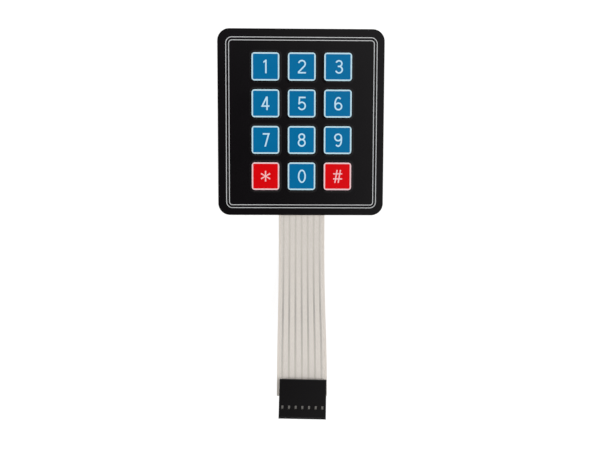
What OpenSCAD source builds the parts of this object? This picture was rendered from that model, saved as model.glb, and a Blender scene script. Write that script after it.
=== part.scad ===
// Twelve-key membrane keypad: a formed and printed overlay laminated to two circuit films,
// with a flat tail that ends in a seven-way crimped socket connector.
// Millimetres. The keys face +Z, the tail leaves towards -Y, and the peel-off liner
// lies on z = 0 with the middle of the pad at the origin.

/* [Pad] */
// Width of the laminated pad
pad_w = 69.2; // [66:0.1:76]
// Height of the laminated pad
pad_h = 76.9; // [75:0.1:84]
// Corner radius of the pad
pad_r = 5; // [2:0.1:6]

/* [Layers] */
// Paper liner that peels off the back
liner_t = 0.1; // [0.05:0.01:0.2]
// Adhesive that holds the pad to a panel
rear_adhesive_t = 0.1; // [0.05:0.01:0.2]
// Polyester of both circuit films
circuit_t = 0.125; // [0.1:0.005:0.2]
// Spacer that holds the circuit films apart
spacer_t = 0.15; // [0.1:0.01:0.25]
// Adhesive under the overlay
overlay_adhesive_t = 0.05; // [0.03:0.01:0.1]
// Polyester of the overlay
overlay_t = 0.15; // [0.1:0.01:0.2]
// Printed conductive ink, sunk flush in its film
conductor_t = 0.02; // [0.01:0.005:0.04]
// Printed colour on the overlay
print_t = 0.02; // [0.01:0.005:0.04]

/* [Keys] */
// Distance between key centres, both ways
key_pitch = 15.05; // [14.9:0.05:15.6]
// Side of a key, outside its white outline
key_size = 11.5; // [11:0.1:12.5]
// Outer corner radius of the white outline
key_r = 1.3; // [1:0.1:2]
// Width of the white outline
outline_w = 0.6; // [0.5:0.1:1.2]
// Corner radius of the coloured field
field_r = 0.4; // [0.2:0.1:1]
// Flat rim of a raised key outside its print
key_land = 0.2; // [0.1:0.05:0.3]
// Width of the formed shoulder round a raised key
shoulder_w = 0.9; // [0.6:0.05:1]
// Height that a key stands above the overlay
key_rise = 0.2; // [0.15:0.05:0.4]
// Key block to the right of the pad's middle
block_x = 0.3; // [0:0.1:0.6]
// Key block above the pad's middle
block_y = 0.4; // [0:0.1:0.6]

/* [Border print] */
// Pad edge to the outer line
border_inset = 3.15; // [2.2:0.05:3.6]
// Width of each line
border_line_w = 0.3; // [0.25:0.05:0.6]
// Gap between the two lines
border_gap = 0.9; // [0.5:0.05:1]
// Corner radius of the outer line
border_r = 2.6; // [2.2:0.1:4]
// Lines to the right of the pad's middle
border_x = 0.2; // [0:0.05:0.4]
// Lines below the pad's middle
border_y = 0.2; // [0:0.05:0.4]

/* [Switches] */
// Printed contact pad under each key
contact_d = 7; // [5:0.5:8]
// Hole in the spacer under each key
spacer_hole_d = 9; // [8:0.5:10]
// Air channel that joins the holes of a column
vent_w = 1; // [0.5:0.1:1.5]
// Opening in the overlay adhesive, beyond the raised key
adhesive_margin = 0.1; // [0.05:0.05:0.2]
// Printed line in the pad
line_w = 0.8; // [0.5:0.1:1]
// Distance between neighbouring lines in the pad's margin
line_pitch = 1.6; // [1.3:0.1:1.8]
// Pad edge to the outermost line
line_inset = 4; // [3:0.1:5]
// Conductive dot that joins the two films
dot_d = 1.6; // [1:0.1:1.8]
// Gap between a dot and its hole in the spacer
dot_gap = 0.2; // [0.1:0.05:0.3]

/* [Tail] */
// Width of the tail
tail_w = 19.3; // [18.6:0.1:20]
// Tail to the right of the pad's middle
tail_x = 0.4; // [0:0.1:1]
// Width of a conductor in the tail
conductor_w = 0.8; // [0.5:0.1:1.2]
// Width of the film laminated over the conductors
cover_w = 17.6; // [16.8:0.1:18.2]
// Thickness of that film
cover_t = 0.06; // [0.03:0.01:0.1]
// Level run next to the pad
tail_lead = 9; // [5:0.5:20]
// Radius of the upward curve
rise_r = 62; // [40:1:90]
// Angle of the upward curve
rise_angle = 34; // [26:1:40]
// Radius of the curve that flattens the tail again
level_r = 45; // [25:1:80]
// Angle of that curve
level_angle = 24; // [10:1:32]
// Straight run into the connector
tail_end = 1.8; // [1:0.1:6]
// Length of tail inside the connector
tail_in = 6.5; // [6:0.1:7]
// Length of cover film inside the connector
cover_in = 0.8; // [0.4:0.1:1]

/* [Connector] */
// Distance between neighbouring contacts
contact_pitch = 2.54; // [2.5:0.01:2.6]
// Length of the housing
housing_l = 14.6; // [14.2:0.1:16]
// Width of the housing beyond the outer contacts' half pitch
end_wall = 0.1; // [0:0.05:0.3]
// Wall under the contacts
housing_floor = 0.5; // [0.4:0.05:0.8]
// Wall over the contacts
housing_roof = 0.5; // [0.4:0.05:0.8]
// Wall in front of the contacts
front_wall = 0.8; // [0.6:0.05:1]
// Chamfer on the housing's edges
housing_chamfer = 0.15; // [0.1:0.05:0.3]
// Length of the slope on the upper mating edge
nose_l = 0.8; // [0.4:0.1:1]
// Depth of that slope
nose_h = 0.35; // [0.2:0.05:0.5]
// Width of the notch in that slope over each post
notch_w = 1.2; // [0.9:0.1:1.6]
// Length of that notch
notch_l = 0.6; // [0.3:0.05:0.6]
// Depth of that notch under the housing's top
notch_h = 0.4; // [0.2:0.05:0.45]
// Length of the open mouth at the rear
mouth_l = 0.5; // [0.3:0.05:0.8]
// Width of a latch window
window_w = 0.9; // [0.9:0.05:1.3]
// Length of a latch window
window_l = 1.6; // [1.5:0.1:2.4]
// Mating face to the middle of a latch window
window_y = 4.1; // [3:0.1:4.6]
// Square opening for a post
post_hole = 0.9; // [0.75:0.05:1.1]
// Chamfer that leads a post in
lead_in = 0.35; // [0.2:0.05:0.4]
// Clearance round the tail in its slot
slot_gap = 0.05; // [0.03:0.01:0.1]
// Connector to the right of the tail's middle
connector_x = 0.4; // [0:0.05:0.5]
// Turn of the connector on the tail, clockwise from above
connector_turn = 1.3; // [0:0.1:2]

/* [Contacts] */
// Thickness of the strip that a contact is folded from
stock_t = 0.2; // [0.15:0.01:0.25]
// Outer width of the receptacle box
box_w = 1.7; // [1.5:0.05:1.8]
// Outer height of the receptacle box
box_h = 1.7; // [1.5:0.05:1.8]
// Length of the receptacle box
box_l = 5.8; // [5.4:0.1:6.2]
// Clearance beside and over the receptacle box
contact_gap = 0.06; // [0.03:0.01:0.1]
// Width of the neck behind the box
neck_w = 1; // [0.7:0.1:1.3]
// Width of the crimp
crimp_w = 1.5; // [1.3:0.05:1.6]
// Width of the conductor's end under the crimp
crimp_pad_w = 1.7; // [1.2:0.1:1.9]
// Length of one crimp tine
tine_l = 0.9; // [0.6:0.05:1]
// Distance between tines
tine_pitch = 1.5; // [1.3:0.05:1.6]
// Rear of the housing to the middle of the first tine
tine_y = 1.9; // [1.7:0.05:2]
// Clearance round a tine in the film
tine_gap = 0.04; // [0.02:0.01:0.06]
// Gap between the folded tips of two tines
tine_tip_gap = 0.3; // [0.1:0.05:0.5]
// Width of the locking lance
lance_w = 0.7; // [0.5:0.05:0.8]
// Height of the locking lance over the box
lance_rise = 0.25; // [0.2:0.05:0.5]
// Clearance round the lance in the box and the window
lance_gap = 0.08; // [0.05:0.01:0.1]
// Width of the spring tongue in the box
spring_w = 0.9; // [0.6:0.05:1]
// Height of the spring tongue's crest
spring_rise = 0.75; // [0.6:0.05:0.9]
// Height of the spring tongue's free end
spring_tip = 0.35; // [0.3:0.05:0.5]
// Length from the tongue's root to its crest
spring_back = 2.8; // [2:0.1:3]
// Length from the crest to the free end
spring_front = 1.4; // [1:0.1:1.8]
// Rear of the box to the tongue's root
spring_y = 0.6; // [0.4:0.1:0.8]

/* [Hidden] */
$fn = 48;
shoulder_steps = 6;
bend_step = 1;
columns = 3;
rows = 4;
contacts = 7;
tines = 3;
over = 1;
// Under side of each layer
film_z = liner_t + rear_adhesive_t;
spacer_z = film_z + circuit_t;
upper_z = spacer_z + spacer_t;
overlay_adhesive_z = upper_z + circuit_t;
overlay_z = overlay_adhesive_z + overlay_adhesive_t;
print_z = overlay_z + overlay_t;
// Floor of the grooves that hold the conductors, above a film's under side
groove_z = circuit_t - conductor_t;
// A raised key: its flat top, and its outline at the foot of the shoulder
plateau = key_size + 2 * key_land;
plateau_r = key_r + key_land;
raised = plateau + 2 * shoulder_w;
raised_r = plateau_r + shoulder_w;
field = key_size - 2 * outline_w;
// Lengths along the tail at which its curves, its housing, its end and its crimp pads come
rise_start = tail_lead;
rise_end = rise_start + arc(rise_r, rise_angle);
level_end = rise_end + arc(level_r, level_angle);
tail_rear = level_end + tail_end;
tail_stop = tail_rear + tail_in;
crimp_start = tail_rear + mouth_l;
rise_steps = ceil(rise_angle / bend_step);
level_steps = ceil(level_angle / bend_step);
bends = concat(
    [for (i = [0:rise_steps]) rise_start + arc(rise_r, rise_angle) * i / rise_steps],
    [for (i = [1:level_steps]) rise_end + arc(level_r, level_angle) * i / level_steps]
);
// The connector's outline, with the contacts' strip just under the tail
housing_w = contacts * contact_pitch + 2 * end_wall;
channel_w = box_w + 2 * contact_gap;
channel_top = box_h - stock_t + contact_gap;
housing_bottom = -stock_t - housing_floor;
housing_top = channel_top + housing_roof;
front_y = housing_l - front_wall;
box_y = front_y - box_l;
window_front = housing_l - window_y + window_l / 2;
window_rear = window_front - window_l;
post_z = (box_h - 2 * stock_t) / 2;
// Depth of the slot, with room for the corner of a tail that lies turned in it
slot_l = tail_in + slot_gap + (tail_w / 2 + connector_x) * sin(connector_turn);
// Ends of the strip's wide part under the crimp
crimp_y = tine_y - tine_pitch / 2;
crimp_l = tines * tine_pitch;

// Length of an arc, and the angle of a length of arc
function arc(r, angle) = r * angle * PI / 180;
function degrees(length, r) = length / r * 180 / PI;

// Places of the keys, the conductors and the lines that join them
function key_x(column) = block_x + (column - (columns - 1) / 2) * key_pitch;
function key_y(row) = block_y + ((rows - 1) / 2 - row) * key_pitch;
function lane_x(pin) = (pin - (contacts + 1) / 2) * contact_pitch;
function pin_x(pin) = tail_x + lane_x(pin);
function margin_x(line) = -pad_w / 2 + line_inset + line * line_pitch;
function margin_y(line) = -pad_h / 2 + line_inset + line * line_pitch;
function is_red(column, row) = row == rows - 1 && column != 1;

// Rounded rectangle about the origin
module rounded(w, h, r) {
    square([w - 2 * r, h], center = true);
    square([w, h - 2 * r], center = true);
    for (x = [-1, 1], y = [-1, 1])
        translate([x * (w / 2 - r), y * (h / 2 - r)])
            circle(r);
}

// Band between two rounded rectangles that share their middle
module frame(w, h, r, band, inner_r) {
    difference() {
        rounded(w, h, r);
        rounded(w - 2 * band, h - 2 * band, inner_r);
    }
}

module pad_outline() {
    rounded(pad_w, pad_h, pad_r);
}

module pad_sheet(z, thickness) {
    translate([0, 0, z])
        linear_extrude(thickness)
            pad_outline();
}

module each_key() {
    for (row = [0:rows - 1], column = [0:columns - 1])
        translate([key_x(column), key_y(row)])
            children();
}

module each_key_of(red) {
    for (row = [0:rows - 1], column = [0:columns - 1])
        if (is_red(column, row) == red)
            translate([key_x(column), key_y(row)])
                children();
}

// Printed line through a list of points, with round turns
module trace(points, w) {
    for (i = [1:len(points) - 1]) {
        step = points[i] - points[i - 1];
        translate(points[i - 1])
            rotate(atan2(step.y, step.x))
                translate([0, -w / 2])
                    square([norm(step), w]);
    }
    for (i = [1:1:len(points) - 2])
        translate(points[i])
            circle(d = w);
}

// Section of the formed film between a key's flat top and the flat overlay
function shoulder_z(share) = key_rise * (1 + cos(180 * share)) / 2;

module shoulder() {
    shares = [for (i = [0:shoulder_steps]) i / shoulder_steps];
    under = [for (share = shares) [share * shoulder_w, shoulder_z(share)]];
    polygon(concat(under, [for (i = [shoulder_steps:-1:0]) under[i] + [0, overlay_t]]));
}

module formed_key() {
    translate([0, 0, key_rise])
        linear_extrude(overlay_t)
            rounded(plateau, plateau, plateau_r);
    straight = plateau / 2 - plateau_r;
    for (quarter = [0:3])
        rotate(90 * quarter) {
            translate([straight, straight, 0])
                rotate_extrude(angle = 90)
                    translate([plateau_r, 0])
                        shoulder();
            translate([plateau / 2, straight, 0])
                rotate([90, 0, 0])
                    linear_extrude(2 * straight)
                        shoulder();
        }
}

module graphic_overlay() {
    color("#17161a")
        translate([0, 0, overlay_z]) {
            linear_extrude(overlay_t)
                difference() {
                    pad_outline();
                    each_key()
                        rounded(raised, raised, raised_r);
                }
            each_key()
                formed_key();
        }
}

// Two printed lines round the pad, which end where they meet a raised key
module border_lines() {
    step = border_line_w + border_gap;
    color("#d9dde0")
        translate([0, 0, print_z])
            linear_extrude(print_t)
                difference() {
                    translate([border_x, -border_y])
                        for (line = [0, 1]) {
                            inset = border_inset + line * step;
                            r = border_r - line * step;
                            frame(pad_w - 2 * inset, pad_h - 2 * inset, r,
                                border_line_w, r - border_line_w);
                        }
                    each_key()
                        rounded(raised, raised, raised_r);
                }
}

module key_outlines() {
    color("#e9f0f2")
        translate([0, 0, print_z + key_rise])
            linear_extrude(print_t)
                each_key()
                    frame(key_size, key_size, key_r, outline_w, field_r);
}

module key_fields(red) {
    translate([0, 0, print_z + key_rise])
        linear_extrude(print_t)
            each_key_of(red)
                rounded(field, field, field_r);
}

module blue_key_fields() {
    color("#056a99")
        key_fields(false);
}

module red_key_fields() {
    color("#d0141a")
        key_fields(true);
}

module overlay_adhesive() {
    opening = raised + 2 * adhesive_margin;
    color("#d8d6cc", 0.6)
        translate([0, 0, overlay_adhesive_z])
            linear_extrude(overlay_adhesive_t)
                difference() {
                    pad_outline();
                    each_key()
                        rounded(opening, opening, raised_r + adhesive_margin);
                }
}

// Contact pads of each column, joined and led to the dots over the last three conductors
module column_lines() {
    each_key()
        circle(d = contact_d);
    dot_y = margin_y(0);
    bend_line = [1, 2, 1];
    for (column = [0:columns - 1]) {
        pin = contacts - columns + 1 + column;
        trace([
            [key_x(column), key_y(0)],
            [key_x(column), margin_y(bend_line[column])],
            [pin_x(pin), margin_y(bend_line[column])],
            [pin_x(pin), dot_y],
        ], line_w);
        translate([pin_x(pin), dot_y])
            circle(d = dot_d);
    }
}

module column_conductors() {
    color("#b9babb")
        translate([0, 0, upper_z])
            linear_extrude(conductor_t)
                column_lines();
}

module upper_circuit_film() {
    color("#e4e6e2", 0.7)
        difference() {
            pad_sheet(upper_z, circuit_t);
            translate([0, 0, upper_z])
                linear_extrude(conductor_t)
                    column_lines();
        }
}

module each_dot() {
    for (pin = [contacts - columns + 1:contacts])
        translate([pin_x(pin), margin_y(0)])
            children();
}

module spacer() {
    color("#e9e7dd", 0.8)
        translate([0, 0, spacer_z])
            linear_extrude(spacer_t)
                difference() {
                    pad_outline();
                    each_key()
                        circle(d = spacer_hole_d);
                    for (column = [0:columns - 1])
                        trace([[key_x(column), key_y(0)], [key_x(column), key_y(rows - 1)]], vent_w);
                    each_dot()
                        circle(d = dot_d + 2 * dot_gap);
                }
}

module transfer_dots() {
    color("#a9aaab")
        translate([0, 0, spacer_z])
            linear_extrude(spacer_t)
                each_dot()
                    circle(d = dot_d);
}

// Contact pads of each row, led round the left margin, and the three lines under the dots
module row_lines() {
    edge_y = -pad_h / 2;
    each_key()
        circle(d = contact_d);
    for (row = [0:rows - 1])
        trace([
            [key_x(columns - 1), key_y(row)],
            [margin_x(row), key_y(row)],
            [margin_x(row), margin_y(row)],
            [pin_x(row + 1), margin_y(row)],
            [pin_x(row + 1), edge_y],
        ], line_w);
    each_dot() {
        circle(d = dot_d);
        trace([[0, 0], [0, -line_inset]], line_w);
    }
}

// Tail frame: +Y runs along the tail, and z = 0 is the film's under side
module at_tail() {
    translate([tail_x, -pad_h / 2, film_z])
        rotate(180)
            children();
}

// Slope of the tail, and a point on it, at a length along it from the pad
function slope(s) =
    s < rise_start ? 0
    : s < rise_end ? degrees(s - rise_start, rise_r)
    : s < level_end ? rise_angle - degrees(s - rise_end, level_r)
    : rise_angle - level_angle;
function on_rise(a) = [rise_start, 0] + rise_r * [sin(a), 1 - cos(a)];
function on_level(a) = on_rise(rise_angle) + level_r * [sin(rise_angle) - sin(a), cos(a) - cos(rise_angle)];
function on_tail(s) =
    s < rise_start ? [s, 0]
    : s < rise_end ? on_rise(slope(s))
    : s < level_end ? on_level(slope(s))
    : on_level(slope(s)) + (s - level_end) * [cos(slope(s)), sin(slope(s))];
function above_tail(s, z) = on_tail(s) + z * [-sin(slope(s)), cos(slope(s))];

// Strip of the tail from one length to another, between two heights, about a line beside its middle
module tail_strip(from, to, z0, z1, x, w) {
    stops = concat([from], [for (s = bends) if (s > from && s < to) s], [to]);
    last = len(stops) - 1;
    translate([x, 0, 0])
        across(w)
            polygon(concat(
                [for (s = stops) above_tail(s, z0)],
                [for (i = [last:-1:0]) above_tail(stops[i], z1)]
            ));
}

module lanes() {
    for (pin = [1:contacts]) {
        tail_strip(0, crimp_start, groove_z, circuit_t, lane_x(pin), conductor_w);
        tail_strip(crimp_start, tail_stop, groove_z, circuit_t, lane_x(pin), crimp_pad_w);
    }
}

module at_connector() {
    rear = on_tail(tail_rear);
    at_tail()
        translate([-connector_x, rear.x, rear.y])
            rotate([slope(tail_rear), 0, 0])
                rotate(-connector_turn)
                    children();
}

module tine_holes() {
    w = stock_t + 2 * tine_gap;
    l = tine_l + 2 * tine_gap;
    at_connector()
        each_contact()
            each_tine()
                for (side = [-1, 1])
                    translate([side * (crimp_w - stock_t) / 2 - w / 2, -tine_gap, -over])
                        cube([w, l, circuit_t + 2 * over]);
}

// Film of the tail: a plain floor, and the strips beside the conductors sunk in its top
module tail_film(from, to, w) {
    tail_strip(from, to, 0, groove_z, 0, tail_w);
    for (gap = [0:contacts]) {
        left = gap == 0 ? -tail_w / 2 : lane_x(gap) + w / 2;
        right = gap == contacts ? tail_w / 2 : lane_x(gap + 1) - w / 2;
        tail_strip(from, to, groove_z, circuit_t, (left + right) / 2, right - left);
    }
}

module lower_circuit_film() {
    color("#dcd8d0") {
        pad_sheet(film_z, groove_z);
        translate([0, 0, film_z + groove_z])
            linear_extrude(conductor_t)
                difference() {
                    pad_outline();
                    row_lines();
                }
        at_tail()
            tail_film(0, crimp_start, conductor_w);
        difference() {
            at_tail()
                tail_film(crimp_start, tail_stop, crimp_pad_w);
            tine_holes();
        }
    }
}

module row_ink() {
    translate([0, 0, film_z + groove_z])
        linear_extrude(conductor_t)
            row_lines();
    at_tail()
        lanes();
}

module row_conductors() {
    color("#a4a5a7")
        difference() {
            row_ink();
            tine_holes();
        }
}

module tail_cover_film() {
    color("#f0eee8", 0.5)
        at_tail()
            tail_strip(0, tail_rear + cover_in, circuit_t, circuit_t + cover_t, 0, cover_w);
}

module rear_adhesive() {
    color("#e0dac8", 0.7)
        pad_sheet(liner_t, rear_adhesive_t);
}

module release_liner() {
    color("#f1ecdf")
        pad_sheet(0, liner_t);
}

module each_contact() {
    for (pin = [1:contacts])
        translate([-lane_x(pin), 0, 0])
            children();
}

// Start of each tine along the contact
module each_tine() {
    for (tine = [0:tines - 1])
        translate([0, tine_y + tine * tine_pitch - tine_l / 2, 0])
            children();
}

// Section in [x, z] run straight along +Y
module run(l) {
    translate([0, l, 0])
        rotate([90, 0, 0])
            linear_extrude(l)
                children();
}

// Outline in [y, z] made as wide as given, about the middle of a contact or the housing
module across(w) {
    rotate([90, 0, 90])
        linear_extrude(w, center = true)
            children();
}

// Housing's section with chamfered edges, and its side outline with a sloping nose
module housing_section() {
    c = housing_chamfer;
    half = housing_w / 2;
    polygon([
        [-half, housing_bottom + c], [-half + c, housing_bottom],
        [half - c, housing_bottom], [half, housing_bottom + c],
        [half, housing_top - c], [half - c, housing_top],
        [-half + c, housing_top], [-half, housing_top - c],
    ]);
}

module housing_side() {
    c = housing_chamfer;
    polygon([
        [0, housing_bottom + c], [c, housing_bottom],
        [housing_l - c, housing_bottom], [housing_l, housing_bottom + c],
        [housing_l, housing_top - nose_h], [housing_l - nose_l, housing_top],
        [c, housing_top], [0, housing_top - c],
    ]);
}

// Opening for a post, flared at the mating face in both directions
module post_opening() {
    half = post_hole / 2;
    flare = half + 2 * lead_in;
    rear = housing_l - lead_in;
    front = housing_l + lead_in;
    translate([-half, front_y - over, post_z - half])
        cube([post_hole, front_wall + 2 * over, post_hole]);
    intersection() {
        across(2 * flare)
            polygon([
                [rear, post_z - half], [front, post_z - flare],
                [front, post_z + flare], [rear, post_z + half],
            ]);
        translate([0, 0, post_z - flare])
            linear_extrude(2 * flare)
                polygon([[-half, rear], [half, rear], [flare, front], [-flare, front]]);
    }
}

module connector_housing() {
    color("#1b1a1c")
        at_connector()
            difference() {
                intersection() {
                    run(housing_l)
                        housing_section();
                    across(housing_w)
                        housing_side();
                }
                each_contact() {
                    translate([-channel_w / 2, -over, -stock_t])
                        cube([channel_w, front_y + over, channel_top + stock_t]);
                    translate([-window_w / 2, window_rear, 0])
                        cube([window_w, window_l, housing_top + over]);
                    translate([-notch_w / 2, housing_l - notch_l, housing_top - notch_h])
                        cube([notch_w, notch_l + over, notch_h + over]);
                    post_opening();
                }
                translate([-housing_w / 2 - over, -over, -stock_t])
                    cube([housing_w + 2 * over, mouth_l + over, channel_top + stock_t]);
                translate([-housing_w / 2 - over, -over, -slot_gap])
                    cube([housing_w + 2 * over, slot_l + over, circuit_t + cover_t + 2 * slot_gap]);
            }
}

// Crimp tine pair: strip under the film, walls through it, tips folded down on the conductor
module tine_section() {
    inner_w = crimp_w - 2 * stock_t;
    difference() {
        translate([-crimp_w / 2, -stock_t])
            square([crimp_w, circuit_t + 2 * stock_t]);
        translate([-inner_w / 2, 0])
            square([inner_w, circuit_t]);
        translate([-tine_tip_gap / 2, 0])
            square([tine_tip_gap, circuit_t + 2 * stock_t]);
    }
}

module box_section() {
    inner_w = box_w - 2 * stock_t;
    inner_h = box_h - 2 * stock_t;
    difference() {
        translate([-box_w / 2, -stock_t])
            square([box_w, box_h]);
        translate([-inner_w / 2, 0])
            square([inner_w, inner_h]);
    }
}

module spring_side() {
    root = box_y + spring_y;
    crest = root + spring_back;
    tip = crest + spring_front;
    polygon([
        [root, -stock_t], [root, 0], [crest, spring_rise], [tip, spring_tip],
        [tip, spring_tip - stock_t], [crest, spring_rise - stock_t],
    ]);
}

// Locking lance, bent up out of the box's roof with its free end towards the rear
module lance_side() {
    roof = box_h - 2 * stock_t;
    free = window_rear + lance_gap;
    polygon([
        [window_front, roof], [window_front, roof + stock_t],
        [free, roof + stock_t + lance_rise], [free, roof + lance_rise],
    ]);
}

module contact(pin) {
    lance_hole_w = lance_w + 2 * lance_gap;
    color("#c9c6bd")
        at_connector()
            translate([-lane_x(pin), 0, 0]) {
                translate([-crimp_w / 2, crimp_y, -stock_t])
                    cube([crimp_w, crimp_l, stock_t]);
                each_tine()
                    run(tine_l)
                        tine_section();
                translate([-neck_w / 2, crimp_y, -stock_t])
                    cube([neck_w, box_y - crimp_y, stock_t]);
                difference() {
                    translate([0, box_y, 0])
                        run(box_l)
                            box_section();
                    translate([-lance_hole_w / 2, window_rear, post_z])
                        cube([lance_hole_w, window_l, box_h]);
                }
                across(spring_w)
                    spring_side();
                across(lance_w)
                    lance_side();
            }
}

graphic_overlay();
border_lines();
key_outlines();
blue_key_fields();
red_key_fields();
overlay_adhesive();
upper_circuit_film();
column_conductors();
spacer();
transfer_dots();
lower_circuit_film();
row_conductors();
tail_cover_film();
rear_adhesive();
release_liner();
connector_housing();
for (pin = [1:contacts])
    contact(pin);
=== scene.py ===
import math

import bmesh
import bpy
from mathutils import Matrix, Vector
from mathutils.geometry import delaunay_2d_cdt


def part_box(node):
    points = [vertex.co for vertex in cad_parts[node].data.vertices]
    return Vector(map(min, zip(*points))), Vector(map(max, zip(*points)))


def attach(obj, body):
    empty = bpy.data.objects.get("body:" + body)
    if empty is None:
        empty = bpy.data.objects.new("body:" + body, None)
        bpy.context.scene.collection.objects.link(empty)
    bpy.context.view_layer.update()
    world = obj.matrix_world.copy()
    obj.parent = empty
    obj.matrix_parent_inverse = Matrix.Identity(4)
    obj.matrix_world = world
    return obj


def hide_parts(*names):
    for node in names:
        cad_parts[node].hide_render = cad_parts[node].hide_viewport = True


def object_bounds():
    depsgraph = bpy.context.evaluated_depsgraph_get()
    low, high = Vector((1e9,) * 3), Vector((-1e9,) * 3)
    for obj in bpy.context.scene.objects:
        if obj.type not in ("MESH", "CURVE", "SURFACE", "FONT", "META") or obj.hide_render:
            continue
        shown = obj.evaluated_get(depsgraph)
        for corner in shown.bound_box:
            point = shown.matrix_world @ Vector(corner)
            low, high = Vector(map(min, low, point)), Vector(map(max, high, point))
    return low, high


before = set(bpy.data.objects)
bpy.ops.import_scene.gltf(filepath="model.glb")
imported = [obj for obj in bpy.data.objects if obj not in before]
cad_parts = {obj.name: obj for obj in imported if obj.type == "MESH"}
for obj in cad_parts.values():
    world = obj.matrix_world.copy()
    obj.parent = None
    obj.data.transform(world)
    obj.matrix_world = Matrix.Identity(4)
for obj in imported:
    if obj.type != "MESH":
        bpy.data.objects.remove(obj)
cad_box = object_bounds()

# Release liner, the paper that is peeled off before the pad is stuck to a panel.
# Bleached kraft, pressed smooth and silicone coated, die-cut together with the pad.
# It is held only by the tack of the adhesive above it.

# The object's lengths are in millimetres and Blender's unit is the metre
MM = 0.001


def linear(hex_colour):
    """Linear colour of an sRGB hex value, with full alpha."""
    shares = [int(hex_colour[i:i + 2], 16) / 255 for i in (1, 3, 5)]
    return [c / 12.92 if c <= 0.04045 else ((c + 0.055) / 1.055) ** 2.4 for c in shares] + [1]


def per_mm(size):
    """Scale of a pattern whose parts are this many millimetres wide."""
    return 1 / (size * MM)


def new_material(name):
    """A material with an empty node tree, and that tree."""
    material = bpy.data.materials.new(name)
    material.use_nodes = True
    material.node_tree.nodes.clear()
    return material, material.node_tree


def add_node(tree, kind, settings=None, values=None, links=None):
    """Adds one node, with its own settings, its socket values and its incoming links."""
    # A Mix node of colours has its factor in socket 0, its colours in 6 and 7, and its result in output 2.
    node = tree.nodes.new(kind)
    for name, value in (settings or {}).items():
        setattr(node, name, value)
    for socket, value in (values or {}).items():
        node.inputs[socket].default_value = value
    for socket, source in (links or {}).items():
        tree.links.new(source, node.inputs[socket])
    return node


def cover(node_name, material):
    """Gives a CAD solid its material."""
    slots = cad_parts[node_name].data.materials
    slots.clear()
    slots.append(material)


# Pressed kraft with a silicone coat: cloudy cream paper with fine fibres and a waxy shine.
# Fibres are about 0.03 mm wide, drawn at 0.3 mm so that they show.
kraft, tree = new_material("kraft_paper_pressed_silicone_coated")
place = add_node(tree, "ShaderNodeTexCoord").outputs["Object"]
cloud = add_node(tree, "ShaderNodeTexNoise", values={"Scale": per_mm(6), "Detail": 4},
                 links={"Vector": place})
fibre = add_node(tree, "ShaderNodeTexNoise",
                 values={"Scale": per_mm(0.3), "Detail": 3, "Distortion": 1.2}, links={"Vector": place})
tone = add_node(tree, "ShaderNodeMix", {"data_type": "RGBA"},
                {6: linear("#e9dfc4"), 7: linear("#f4eddb")}, {0: cloud.outputs["Fac"]})
shine = add_node(tree, "ShaderNodeMapRange", values={"To Min": 0.34, "To Max": 0.52},
                 links={"Value": fibre.outputs["Fac"]})
relief = add_node(tree, "ShaderNodeBump", values={"Strength": 0.25, "Distance": 0.01 * MM},
                  links={"Height": fibre.outputs["Fac"]})
paper = add_node(tree, "ShaderNodeBsdfPrincipled", values={"IOR": 1.43},
                 links={"Base Color": tone.outputs[2], "Roughness": shine.outputs[0],
                        "Normal": relief.outputs[0]})
add_node(tree, "ShaderNodeOutputMaterial", links={"Surface": paper.outputs[0]})
cover("release_liner", kraft)

# Adhesive layers, one on the pad's back and one with openings under the keys.
# Clear acrylic adhesive transferred from a roll, which bonds the films face to face.

# Cast acrylic adhesive: only its cut edge shows, a soft greyish line with a wet gloss.
# Flow marks are about 2 mm long.
acrylic, tree = new_material("acrylic_adhesive_cast")
place = add_node(tree, "ShaderNodeTexCoord").outputs["Object"]
flow = add_node(tree, "ShaderNodeTexNoise", values={"Scale": per_mm(2), "Detail": 2},
                links={"Vector": place})
tone = add_node(tree, "ShaderNodeMix", {"data_type": "RGBA"},
                {6: linear("#c9c3b2"), 7: linear("#ddd8ca")}, {0: flow.outputs["Fac"]})
gel = add_node(tree, "ShaderNodeBsdfPrincipled", values={"IOR": 1.47, "Roughness": 0.22},
               links={"Base Color": tone.outputs[2]})
add_node(tree, "ShaderNodeOutputMaterial", links={"Surface": gel.outputs[0]})
for name in ("rear_adhesive", "overlay_adhesive"):
    cover(name, acrylic)

# Circuit films, the lower one with the tail and the upper one above the spacer.
# Heat-stabilised polyester with a milky tint, cut from a roll. The tail bends freely upwards.

# Points this close are one point, facets this flat are one face, and bends this slight are shaded smooth
SAME_POINT = 0.0002
FLAT_DEG = 0.2
BEND_DEG = 20


def smooth_copy(node_name, piece_name, material):
    """Stands for a CAD solid with the same shape, its flat facets joined and its bends shaded smooth."""
    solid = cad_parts[node_name].data
    work = bmesh.new()
    corners = [work.verts.new(v.co) for v in solid.vertices]
    for polygon in solid.polygons:
        work.faces.new([corners[i] for i in polygon.vertices])
    bmesh.ops.remove_doubles(work, verts=work.verts, dist=SAME_POINT * MM)
    bmesh.ops.dissolve_limit(work, angle_limit=math.radians(FLAT_DEG), verts=work.verts, edges=work.edges)
    for face in work.faces:
        face.smooth = True
    mesh = bpy.data.meshes.new(piece_name)
    work.to_mesh(mesh)
    work.free()
    mesh.set_sharp_from_angle(angle=math.radians(BEND_DEG))
    mesh.materials.append(material)
    piece = bpy.data.objects.new(piece_name, mesh)
    bpy.context.scene.collection.objects.link(piece)
    even = piece.modifiers.new("even_normals", "WEIGHTED_NORMAL")
    even.mode = "FACE_AREA"
    even.keep_sharp = True
    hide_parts(node_name)
    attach(piece, "root")
    return piece


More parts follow.
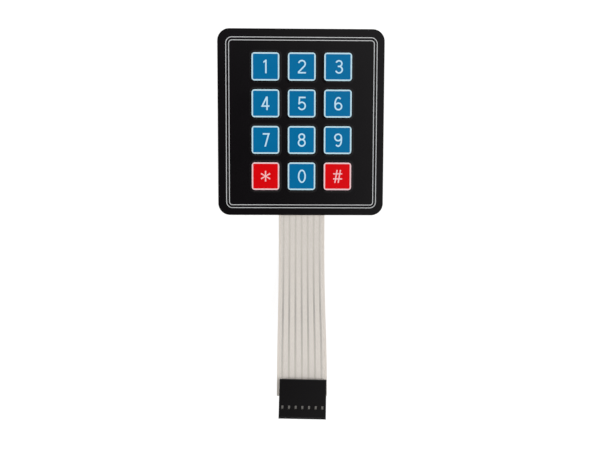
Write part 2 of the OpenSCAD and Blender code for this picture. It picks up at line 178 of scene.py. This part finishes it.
# Calendered milky polyester: a warm pale grey sheet with a silky sheen and faint rolling bands.
# The bands are about 5 mm apart. The haze is far finer, and is drawn at 0.4 mm.
polyester, tree = new_material("polyester_film_calendered_milky")
place = add_node(tree, "ShaderNodeTexCoord").outputs["Object"]
bands = add_node(tree, "ShaderNodeTexNoise", values={"Scale": per_mm(5), "Detail": 2},
                 links={"Vector": place})
haze = add_node(tree, "ShaderNodeTexNoise", values={"Scale": per_mm(0.4), "Detail": 2},
                links={"Vector": place})
tone = add_node(tree, "ShaderNodeMix", {"data_type": "RGBA"},
                {6: linear("#ccc5bd"), 7: linear("#d4cdc5")}, {0: bands.outputs["Fac"]})
shine = add_node(tree, "ShaderNodeMapRange", values={"To Min": 0.28, "To Max": 0.38},
                 links={"Value": haze.outputs["Fac"]})
relief = add_node(tree, "ShaderNodeBump", values={"Strength": 0.1, "Distance": 0.01 * MM},
                  links={"Height": haze.outputs["Fac"]})
film = add_node(tree, "ShaderNodeBsdfPrincipled", values={"IOR": 1.6},
                links={"Base Color": tone.outputs[2], "Roughness": shine.outputs[0],
                       "Normal": relief.outputs[0]})
add_node(tree, "ShaderNodeOutputMaterial", links={"Surface": film.outputs[0]})
smooth_copy("lower_circuit_film", "lower_film_with_tail", polyester)
cover("upper_circuit_film", polyester)

# Conductors of the rows and columns, and the dots that join the two films.
# Silver paste, screen printed on the films and baked, so it lies flush in their faces.

# Baked silver paste: a dull grey metal, speckled by its flakes, and darkest some way along the tail.
# Towards the pad and the connector it is painted paler, a painted sheen for the room's reflection in the
# level film there.
# Flakes are about 0.01 mm, drawn at 0.15 mm so that they show.
DARKEST_SHARE = 0.62
PAINTED_SHEEN_REACH = 27
tail_low, tail_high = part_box("tail_cover_film")
darkest_y = tail_high.y + DARKEST_SHARE * (tail_low.y - tail_high.y)
silver, tree = new_material("silver_paste_screen_printed")
place = add_node(tree, "ShaderNodeTexCoord").outputs["Object"]
flakes = add_node(tree, "ShaderNodeTexNoise", values={"Scale": per_mm(0.15), "Detail": 3},
                  links={"Vector": place})
along_tail = add_node(tree, "ShaderNodeMapping",
                      values={"Location": (0, -darkest_y * per_mm(PAINTED_SHEEN_REACH), 0),
                              "Scale": (0, per_mm(PAINTED_SHEEN_REACH), 0)}, links={"Vector": place})
# Painted sheen: the paste's tone pales from this middle towards both ends of the tail.
sheen_free = add_node(tree, "ShaderNodeTexGradient", {"gradient_type": "SPHERICAL"},
                 links={"Vector": along_tail.outputs[0]})
painted_sheen_tone = add_node(tree, "ShaderNodeMix", {"data_type": "RGBA"},
                {6: linear("#bab4ac"), 7: linear("#c4beb6")}, {0: flakes.outputs["Fac"]})
dark = add_node(tree, "ShaderNodeMix", {"data_type": "RGBA"},
                {6: linear("#827c74"), 7: linear("#908a82")}, {0: flakes.outputs["Fac"]})
tone = add_node(tree, "ShaderNodeMix", {"data_type": "RGBA"},
                links={0: sheen_free.outputs["Fac"], 6: painted_sheen_tone.outputs[2], 7: dark.outputs[2]})
shine = add_node(tree, "ShaderNodeMapRange", values={"To Min": 0.45, "To Max": 0.65},
                 links={"Value": flakes.outputs["Fac"]})
paste = add_node(tree, "ShaderNodeBsdfPrincipled", values={"Metallic": 0.15},
                 links={"Base Color": tone.outputs[2], "Roughness": shine.outputs[0]})
add_node(tree, "ShaderNodeOutputMaterial", links={"Surface": paste.outputs[0]})
smooth_copy("row_conductors", "row_conductor_lines", silver)
for name in ("column_conductors", "transfer_dots"):
    cover(name, silver)

# Cover film, a narrower strip laminated over the tail's conductors.
# Thin matt polyester with a heat-sealed face, which keeps the silver from tarnish.

# Matt sealing film: nearly clear and a little cloudy, so the conductors show through as soft grey stripes.
# Its cloud is about 1.5 mm across.
sealing, tree = new_material("polyester_sealing_film_matt")
place = add_node(tree, "ShaderNodeTexCoord").outputs["Object"]
cloud = add_node(tree, "ShaderNodeTexNoise", values={"Scale": per_mm(1.5), "Detail": 3},
                 links={"Vector": place})
tone = add_node(tree, "ShaderNodeMix", {"data_type": "RGBA"},
                {6: linear("#ede9e4"), 7: linear("#f3f0ec")}, {0: cloud.outputs["Fac"]})
shine = add_node(tree, "ShaderNodeMapRange", values={"To Min": 0.46, "To Max": 0.56},
                 links={"Value": cloud.outputs["Fac"]})
strip = add_node(tree, "ShaderNodeBsdfPrincipled", values={"IOR": 1.6, "Alpha": 0.2},
                 links={"Base Color": tone.outputs[2], "Roughness": shine.outputs[0]})
add_node(tree, "ShaderNodeOutputMaterial", links={"Surface": strip.outputs[0]})
cover_film = smooth_copy("tail_cover_film", "tail_sealing_film", sealing)
# The two films touch, so this one is drawn a hair thinner to keep their faces apart.
HAIR = 0.004
thinner = cover_film.modifiers.new("clear_of_the_film_below", "DISPLACE")
thinner.mid_level = 0
thinner.strength = -HAIR * MM

# Spacer, which holds the circuit films apart except under the keys.
# Polyester with adhesive on both faces, punched with a hole under each key.

# Punched polyester: an even off-white sheet with a satin face, seen only at its cut edge.
# Its tint drifts over about 4 mm.
punched, tree = new_material("polyester_spacer_punched")
place = add_node(tree, "ShaderNodeTexCoord").outputs["Object"]
drift = add_node(tree, "ShaderNodeTexNoise", values={"Scale": per_mm(4), "Detail": 2},
                 links={"Vector": place})
tone = add_node(tree, "ShaderNodeMix", {"data_type": "RGBA"},
                {6: linear("#cfcabd"), 7: linear("#e2ded3")}, {0: drift.outputs["Fac"]})
sheet = add_node(tree, "ShaderNodeBsdfPrincipled", values={"IOR": 1.6, "Roughness": 0.4},
                 links={"Base Color": tone.outputs[2]})
add_node(tree, "ShaderNodeOutputMaterial", links={"Surface": sheet.outputs[0]})
cover("spacer", punched)

# Graphic overlay, the face of the keypad, with twelve keys pressed up from its flat sheet.
# Fine-textured polyester, printed black on its back and formed over a warm tool.

# Textured polyester over black ink: deep black with a soft sheen that the fine grain breaks up.
# The grain is about 0.05 mm, drawn at 0.2 mm so that it shows.
velvet, tree = new_material("polyester_overlay_textured_black_backed")
place = add_node(tree, "ShaderNodeTexCoord").outputs["Object"]
grain = add_node(tree, "ShaderNodeTexNoise", values={"Scale": per_mm(0.2), "Detail": 2},
                 links={"Vector": place})
cloud = add_node(tree, "ShaderNodeTexNoise", values={"Scale": per_mm(9), "Detail": 3},
                 links={"Vector": place})
tone = add_node(tree, "ShaderNodeMix", {"data_type": "RGBA"},
                {6: linear("#0a080a"), 7: linear("#0f0d0f")}, {0: cloud.outputs["Fac"]})
shine = add_node(tree, "ShaderNodeMapRange", values={"To Min": 0.22, "To Max": 0.3},
                 links={"Value": grain.outputs["Fac"]})
relief = add_node(tree, "ShaderNodeBump", values={"Strength": 0.15, "Distance": 0.01 * MM},
                  links={"Height": grain.outputs["Fac"]})
face = add_node(tree, "ShaderNodeBsdfPrincipled", values={"IOR": 1.5},
                links={"Base Color": tone.outputs[2], "Roughness": shine.outputs[0],
                       "Normal": relief.outputs[0]})
add_node(tree, "ShaderNodeOutputMaterial", links={"Surface": face.outputs[0]})
smooth_copy("graphic_overlay", "formed_overlay", velvet)

# Printed lines round the pad and white outlines round the keys.
# Thin white ink, screen printed and cured before the overlay is formed.
# The block of keys is three wide and four high, so its box gives the pitch and the first key's middle.
block_low, block_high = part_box("key_outlines")
block = block_high - block_low
pitch = block.y - block.x
key_size = block.y - 3 * pitch
first_key = Vector((block_low.x + block.x / 2 - pitch, block_high.y - key_size / 2, block_high.z))
red_middle = sum(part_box("red_key_fields"), Vector()) / 2


def printed_ink(name, low, high, beside_red=None):
    """Cured screen ink between two close tones, and between two others beside the red keys if given."""
    # The screen's threads are about 0.08 mm apart, drawn at 0.35 mm so that they show.
    ink, tree = new_material(name)
    place = add_node(tree, "ShaderNodeTexCoord").outputs["Object"]
    mesh = add_node(tree, "ShaderNodeTexVoronoi", {"distance": "CHEBYCHEV"},
                    {"Scale": per_mm(0.35), "Randomness": 0.25}, {"Vector": place})
    cloud = add_node(tree, "ShaderNodeTexNoise", values={"Scale": per_mm(3), "Detail": 3},
                     links={"Vector": place})
    tone = add_node(tree, "ShaderNodeMix", {"data_type": "RGBA"},
                    {6: linear(low), 7: linear(high)}, {0: cloud.outputs["Fac"]})
    if beside_red:
        # The red keys are the last row without its middle key
        spot = add_node(tree, "ShaderNodeSeparateXYZ", links={0: place})
        last_row = add_node(tree, "ShaderNodeMath", {"operation": "COMPARE"},
                            {1: red_middle.y, 2: pitch / 2}, {0: spot.outputs["Y"]})
        middle_key = add_node(tree, "ShaderNodeMath", {"operation": "COMPARE"},
                              {1: red_middle.x, 2: pitch / 2}, {0: spot.outputs["X"]})
        red_key = add_node(tree, "ShaderNodeMath", {"operation": "SUBTRACT", "use_clamp": True},
                           links={0: last_row.outputs[0], 1: middle_key.outputs[0]})
        warm = add_node(tree, "ShaderNodeMix", {"data_type": "RGBA"},
                        {6: linear(beside_red[0]), 7: linear(beside_red[1])}, {0: cloud.outputs["Fac"]})
        tone = add_node(tree, "ShaderNodeMix", {"data_type": "RGBA"},
                        links={0: red_key.outputs[0], 6: tone.outputs[2], 7: warm.outputs[2]})
    shine = add_node(tree, "ShaderNodeMapRange", values={"To Min": 0.22, "To Max": 0.3},
                     links={"Value": mesh.outputs["Distance"]})
    relief = add_node(tree, "ShaderNodeBump", values={"Strength": 0.12, "Distance": 0.01 * MM},
                      links={"Height": mesh.outputs["Distance"]})
    face = add_node(tree, "ShaderNodeBsdfPrincipled", values={"IOR": 1.35},
                    links={"Base Color": tone.outputs[2], "Roughness": shine.outputs[0],
                           "Normal": relief.outputs[0]})
    add_node(tree, "ShaderNodeOutputMaterial", links={"Surface": face.outputs[0]})
    return ink


# White ink: a soft white that takes a little of the blue or red it surrounds, and greyer in the thin lines.
cover("key_outlines", printed_ink("white_ink_screen_printed", "#afcfdc", "#bbdae5", ("#dfb9bc", "#e9c3c6")))
cover("border_lines", printed_ink("white_ink_screen_printed_thin", "#b6b7b8", "#c3c4c5"))

# Coloured fields of the keys, blue for the digits and red for the two signs.
# Opaque inks, screen printed inside the white outlines.

# Opaque blue and red inks: strong even colours with a satin face and the faint mesh of the screen.
cover("blue_key_fields", printed_ink("blue_ink_screen_printed", "#036292", "#056899"))
cover("red_key_fields", printed_ink("red_ink_screen_printed", "#c80409", "#d2070f"))

# Digits and signs on the keys, in a plain narrow letter of even stroke.
# White ink, screen printed last, so it stands a hair above the coloured fields.
DIGIT_W = 3.3
DIGIT_H = 5.55
PEN = 0.6
PRINT_T = 0.012
ARC_STEP_DEG = 6


def bar(start, end, pen=PEN):
    """Straight stroke with square ends."""
    start, end = Vector(start), Vector(end)
    side = (end - start).orthogonal().normalized() * pen / 2
    return [start - side, end - side, end + side, start + side]


def slant(foot, top, pen=PEN):
    """Sloping stroke that is cut level at both ends."""
    foot, top = Vector(foot), Vector(top)
    half = Vector((pen / 2 * (top - foot).length / (top - foot).y, 0))
    return [foot - half, foot + half, top + half, top - half]


def bow(centre, rx, ry, start, end):
    """Stroke along the inside of an ellipse, between two angles in degrees."""
    steps = math.ceil((end - start) / ARC_STEP_DEG)
    angles = [math.radians(start + (end - start) * i / steps) for i in range(steps + 1)]
    rims = [[Vector((centre[0] + (rx - inset) * math.cos(a), centre[1] + (ry - inset) * math.sin(a)))
             for a in angles] for inset in (0, PEN)]
    return rims[0] + rims[1][::-1]


def loop(centre, rx, ry):
    """Closed oval stroke."""
    return [bow(centre, rx, ry, 0, 180), bow(centre, rx, ry, 180, 360)]


# Each sign is a list of strokes, in millimetres from the foot of its middle line
half_w = DIGIT_W / 2
mid_y = DIGIT_H / 2
top_y = DIGIT_H - PEN / 2
WAIST_RAISE = 0.1
waist_r = (DIGIT_H + PEN) / 4
low_r = waist_r + WAIST_RAISE
high_r = waist_r - WAIST_RAISE
flag = [(0, DIGIT_H), (-1.05, DIGIT_H - 0.75), (-1.05, DIGIT_H - 1.4), (0, DIGIT_H - 0.75)]
neck = (half_w - PEN / 2) * math.sin(math.radians(45))
beam_y = 1.65
six = [
    *loop((0, half_w), half_w, half_w),
    bow((0, mid_y), half_w, mid_y, 50, 180),
    bar((PEN / 2 - half_w, half_w), (PEN / 2 - half_w, mid_y)),
]
STAR_ARM = 2.2
STAR_ROOT_W = 0.4
STAR_TIP_W = 0.6
HASH_W = 3.8
HASH_H = 5.4
HASH_PEN = 0.5
HASH_BAR_Y = 1.05
HASH_LEG_X = 0.7
HASH_LEAN = 0.45
hash_foot = mid_y - HASH_H / 2


def star_arm(turn):
    """One arm of the star, which widens a little towards its tip."""
    along = Vector((math.sin(turn), math.cos(turn)))
    root_side = STAR_ROOT_W / 2 * along.orthogonal()
    tip_side = STAR_TIP_W / 2 * along.orthogonal()
    root = Vector((0, mid_y))
    tip = root + STAR_ARM * along
    return [root - root_side, tip - tip_side, tip + tip_side, root + root_side]


STROKES = {
    "0": loop((0, mid_y), half_w, mid_y),
    "1": [bar((0, 0), (0, DIGIT_H)), [Vector(point) for point in flag]],
    "2": [
        bow((0, DIGIT_H - half_w), half_w, half_w, -45, 165),
        bar((neck, DIGIT_H - half_w - neck), (0.2 - half_w, 0.5)),
        bar((-half_w, PEN / 2), (half_w, PEN / 2)),
    ],
    "3": [
        bow((0, DIGIT_H - high_r), high_r + 0.05, high_r, -90, 160),
        bow((0, low_r), half_w, low_r, -160, 90),
        bar((-0.5, 2 * low_r - PEN / 2), (0, 2 * low_r - PEN / 2)),
    ],
    "4": [
        bar((0.75, 0), (0.75, DIGIT_H)),
        bar((-1.45, beam_y), (half_w + 0.1, beam_y)),
        slant((-1.4, beam_y - PEN / 2), (0.7, DIGIT_H)),
    ],
    "5": [
        bar((-1.25, top_y), (half_w - 0.15, top_y)),
        bar((-1, DIGIT_H), (-1.2, 2.4)),
        bow((-0.05, 1.8), half_w + 0.05, 1.8, -160, 142),
    ],
    "6": six,
    "7": [bar((-1.45, top_y), (1.45, top_y)), slant((-0.45, 0), (1.1, DIGIT_H))],
    "8": [*loop((0, DIGIT_H - high_r), high_r, high_r), *loop((0, low_r), half_w, low_r)],
    "9": [[Vector((0, DIGIT_H)) - point for point in stroke] for stroke in six],
    "star": [star_arm(math.radians(60 * arm)) for arm in range(6)],
    "hash": [
        *(bar((-HASH_W / 2, mid_y + y), (HASH_W / 2, mid_y + y), HASH_PEN)
          for y in (-HASH_BAR_Y, HASH_BAR_Y)),
        *(slant((x - HASH_LEAN, hash_foot), (x + HASH_LEAN, hash_foot + HASH_H), HASH_PEN)
          for x in (-HASH_LEG_X, HASH_LEG_X)),
    ],
}
# Where strokes cross, points this close are one point, and faces this flat are one face
CROSSING_GAP = 0.0001
CORNER_GAP = 0.002
PRINT_FLAT_DEG = 1


def glyph_mesh(name, strokes, origin):
    """Thin closed solid over the area that a sign's strokes cover together."""
    points = []
    outlines = []
    for stroke in strokes:
        outlines.append(list(range(len(points), len(points) + len(stroke))))
        points.extend(stroke)
    flat, _, faces, _, _, inside = delaunay_2d_cdt(points, [], outlines, 0, CROSSING_GAP)
    work = bmesh.new()
    corners = [work.verts.new(origin + Vector((p.x, p.y - mid_y, 0)) * MM) for p in flat]
    for face, held in zip(faces, inside):
        if held:
            work.faces.new([corners[i] for i in face])
    bmesh.ops.delete(work, geom=[v for v in work.verts if not v.link_faces], context="VERTS")
    bmesh.ops.remove_doubles(work, verts=work.verts, dist=CORNER_GAP * MM)
    bmesh.ops.dissolve_limit(work, angle_limit=math.radians(PRINT_FLAT_DEG), verts=work.verts,
                             edges=work.edges)
    raised = bmesh.ops.extrude_face_region(work, geom=list(work.faces), use_keep_orig=True)
    for v in raised["geom"]:
        if isinstance(v, bmesh.types.BMVert):
            v.co.z += PRINT_T * MM
    bmesh.ops.recalc_face_normals(work, faces=work.faces)
    mesh = bpy.data.meshes.new(name)
    work.to_mesh(mesh)
    work.free()
    return mesh


# Thin white ink over colour: a soft white, through which a little of the blue or red shows
white_over_blue = printed_ink("white_ink_screen_printed_over_blue", "#aed2e5", "#bbdcec")
white_over_red = printed_ink("white_ink_screen_printed_over_red", "#e9acaf", "#f1bcbe")
KEYPAD = [["1", "2", "3"], ["4", "5", "6"], ["7", "8", "9"], ["star", "0", "hash"]]
# How far a sign is printed to the right of its key's middle
ASIDE = {"1": 0.2, "2": 0.05, "3": 0.35, "4": -0.1, "5": 0.1, "6": 0.2, "7": 0.3, "8": 0.05, "9": 0.2,
         "0": 0.15, "hash": 0.1}
for row, row_signs in enumerate(KEYPAD):
    for column, sign in enumerate(row_signs):
        middle = first_key + Vector((column * pitch + ASIDE.get(sign, 0) * MM, -row * pitch, 0))
        piece_name = "sign_" + sign
        mesh = glyph_mesh(piece_name, STROKES[sign], middle)
        mesh.materials.append(white_over_red if sign in ("star", "hash") else white_over_blue)
        piece = bpy.data.objects.new(piece_name, mesh)
        bpy.context.scene.collection.objects.link(piece)
        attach(piece, "root")

# Contacts, seven receptacles crimped through the end of the tail.
# Phosphor bronze strip, tin plated, punched and folded. Each snaps into its housing by a lance.

# Tin plate over bronze: a bright grey metal with the soft grain of the rolled strip.
# Rolling lines are about 0.02 mm apart, drawn at 0.1 mm so that they show.
tin, tree = new_material("phosphor_bronze_tin_plated")
place = add_node(tree, "ShaderNodeTexCoord").outputs["Object"]
along_strip = add_node(tree, "ShaderNodeMapping", values={"Scale": (1, 0.1, 1)}, links={"Vector": place})
rolled = add_node(tree, "ShaderNodeTexNoise", values={"Scale": per_mm(0.1), "Detail": 2},
                  links={"Vector": along_strip.outputs[0]})
tone = add_node(tree, "ShaderNodeMix", {"data_type": "RGBA"},
                {6: linear("#bcb8b1"), 7: linear("#d2cfc9")}, {0: rolled.outputs["Fac"]})
shine = add_node(tree, "ShaderNodeMapRange", values={"To Min": 0.25, "To Max": 0.4},
                 links={"Value": rolled.outputs["Fac"]})
plate = add_node(tree, "ShaderNodeBsdfPrincipled", values={"Metallic": 1},
                 links={"Base Color": tone.outputs[2], "Roughness": shine.outputs[0]})
add_node(tree, "ShaderNodeOutputMaterial", links={"Surface": plate.outputs[0]})
PINS = 7
for pin in range(1, PINS + 1):
    cover(f"contact_{pin}", tin)

# Connector housing, one block with a channel, a latch window and a post opening for each contact.
# Glass-filled polyester, injection moulded in black. It is pushed over the contacts from the front.

# Moulded glass-filled polyester: dull black with the fine pits of an eroded tool.
# The pits are about 0.03 mm, drawn at 0.15 mm so that they show.
moulding, tree = new_material("glass_filled_polyester_moulded")
place = add_node(tree, "ShaderNodeTexCoord").outputs["Object"]
pits = add_node(tree, "ShaderNodeTexNoise", values={"Scale": per_mm(0.15), "Detail": 3},
                links={"Vector": place})
tone = add_node(tree, "ShaderNodeMix", {"data_type": "RGBA"},
                {6: linear("#0a090a"), 7: linear("#100e0f")}, {0: pits.outputs["Fac"]})
shine = add_node(tree, "ShaderNodeMapRange", values={"To Min": 0.24, "To Max": 0.34},
                 links={"Value": pits.outputs["Fac"]})
relief = add_node(tree, "ShaderNodeBump", values={"Strength": 0.2, "Distance": 0.01 * MM},
                  links={"Height": pits.outputs["Fac"]})
plastic = add_node(tree, "ShaderNodeBsdfPrincipled", values={"IOR": 1.55},
                   links={"Base Color": tone.outputs[2], "Roughness": shine.outputs[0],
                          "Normal": relief.outputs[0]})
add_node(tree, "ShaderNodeOutputMaterial", links={"Surface": plastic.outputs[0]})
housing = smooth_copy("connector_housing", "moulded_housing", moulding)
# The tool leaves a small radius on every edge, rounded before the normals are evened out
EDGE_R = 0.05
EDGE_DEG = 30
soft_edges = housing.modifiers.new("moulded_edges", "BEVEL")
soft_edges.width = EDGE_R * MM
soft_edges.segments = 2
soft_edges.limit_method = "ANGLE"
soft_edges.angle_limit = math.radians(EDGE_DEG)
soft_edges.harden_normals = True
housing.modifiers.move(1, 0)

# Studio: a white floor in a pale room, with a large soft lamp on the left and one on the right.
# The floor looks white to the camera and in reflections, and it keeps a faint shadow.
FLOOR_SIDE = 1.2
floor_mesh = bpy.data.meshes.new("floor")
reach = FLOOR_SIDE / 2
floor_mesh.from_pydata([(-reach, -reach, 0), (reach, -reach, 0), (reach, reach, 0), (-reach, reach, 0)],
                       [], [(0, 1, 2, 3)])
floor = bpy.data.objects.new("floor", floor_mesh)
bpy.context.scene.collection.objects.link(floor)
paint, tree = new_material("white_studio_floor")
rays = add_node(tree, "ShaderNodeLightPath")
mirrored = add_node(tree, "ShaderNodeMath", {"operation": "MAXIMUM"},
                    links={0: rays.outputs["Is Glossy Ray"], 1: rays.outputs["Is Transmission Ray"]})
seen = add_node(tree, "ShaderNodeMath", {"operation": "MAXIMUM"},
                links={0: rays.outputs["Is Camera Ray"], 1: mirrored.outputs[0]})
plain = add_node(tree, "ShaderNodeBsdfDiffuse", values={"Color": linear("#e6e6e6")})
glow = add_node(tree, "ShaderNodeEmission", values={"Color": linear("#ffffff"), "Strength": 0.8})
shade = add_node(tree, "ShaderNodeBsdfDiffuse", values={"Color": linear("#909090")})
white = add_node(tree, "ShaderNodeAddShader", links={0: glow.outputs[0], 1: shade.outputs[0]})
either = add_node(tree, "ShaderNodeMixShader",
                  links={0: seen.outputs[0], 1: plain.outputs[0], 2: white.outputs[0]})
add_node(tree, "ShaderNodeOutputMaterial", links={"Surface": either.outputs[0]})
floor_mesh.materials.append(paint)

# The room's walls are white. Its ceiling is grey, and darkens towards a point above the object, a little to
# the left. So faces seen from above keep deep colours, and a soft sheen grows towards the right.
# The angles are measured from that point's direction.
CEILING_AXIS = Vector((-0.3, 0.05, 1)).normalized()
CEILING_GREY = 0.34
DARK_DEG = 18.2
GREY_DEG = 31.8
CEILING_END_DEG = 62
WALL_DEG = 75
room = bpy.data.worlds.new("studio_room")
room.use_nodes = True
room.node_tree.nodes.clear()
tree = room.node_tree
rays = add_node(tree, "ShaderNodeLightPath")
way = add_node(tree, "ShaderNodeTexCoord").outputs["Generated"]
height = add_node(tree, "ShaderNodeVectorMath", {"operation": "DOT_PRODUCT"}, {1: CEILING_AXIS}, {0: way})
ceiling = add_node(tree, "ShaderNodeMapRange",
                   values={"From Min": math.cos(math.radians(GREY_DEG)),
                           "From Max": math.cos(math.radians(DARK_DEG)),
                           "To Min": CEILING_GREY, "To Max": 0},
                   links={"Value": height.outputs["Value"]})
walls = add_node(tree, "ShaderNodeMapRange",
                 values={"From Min": math.cos(math.radians(WALL_DEG)),
                         "From Max": math.cos(math.radians(CEILING_END_DEG)), "To Min": 1, "To Max": 0},
                 links={"Value": height.outputs["Value"]})
inside = add_node(tree, "ShaderNodeMath", {"operation": "MAXIMUM"},
                  links={0: ceiling.outputs[0], 1: walls.outputs[0]})
level = add_node(tree, "ShaderNodeMath", {"operation": "MAXIMUM"},
                 links={0: inside.outputs[0], 1: rays.outputs["Is Camera Ray"]})
light = add_node(tree, "ShaderNodeBackground", values={"Color": linear("#ffffff")},
                 links={"Strength": level.outputs[0]})
add_node(tree, "ShaderNodeOutputWorld", links={"Surface": light.outputs[0]})
bpy.context.scene.world = room

# The lamps stand about 0.8 m away on both sides, and stay out of reflections.
# Their lengths are in metres, like the floor's.
LAMP_SIDE = 0.6
LAMP_POWER = 4.25
LAMP_ASIDE = 0.6
LAMP_BACK = 0.1
LAMP_UP = 0.55
middle = sum(cad_box, Vector()) / 2
for name, side in (("left_softbox", -1), ("right_softbox", 1)):
    lamp = bpy.data.lights.new(name, "AREA")
    lamp.size = LAMP_SIDE
    lamp.energy = LAMP_POWER
    stand = bpy.data.objects.new(name, lamp)
    offset = Vector((side * LAMP_ASIDE, LAMP_BACK, LAMP_UP))
    stand.location = middle + offset
    stand.rotation_euler = (-offset).to_track_quat("-Z", "Y").to_euler()
    stand.visible_glossy = False
    bpy.context.scene.collection.objects.link(stand)

# Camera: it looks nearly straight down on the pad from about 180 mm, as the photograph does.
# Its tilt is in radians, and its focal length in pixels of the photograph.
IMAGE_W = 600
FOCAL_PX = 423
EYE = Vector((-2.3, -33.8, 179)) * MM
TILT = (-0.0495, -0.0112, 0.0025)
camera_data = bpy.data.cameras.new("camera")
camera_data.sensor_fit = "HORIZONTAL"
camera_data.lens = camera_data.sensor_width * FOCAL_PX / IMAGE_W
camera_data.clip_start = 10 * MM
camera = bpy.data.objects.new("camera", camera_data)
camera.location = EYE
camera.rotation_euler = TILT
bpy.context.scene.collection.objects.link(camera)
bpy.context.scene.camera = camera

bpy.context.scene.view_settings.view_transform = "Standard"
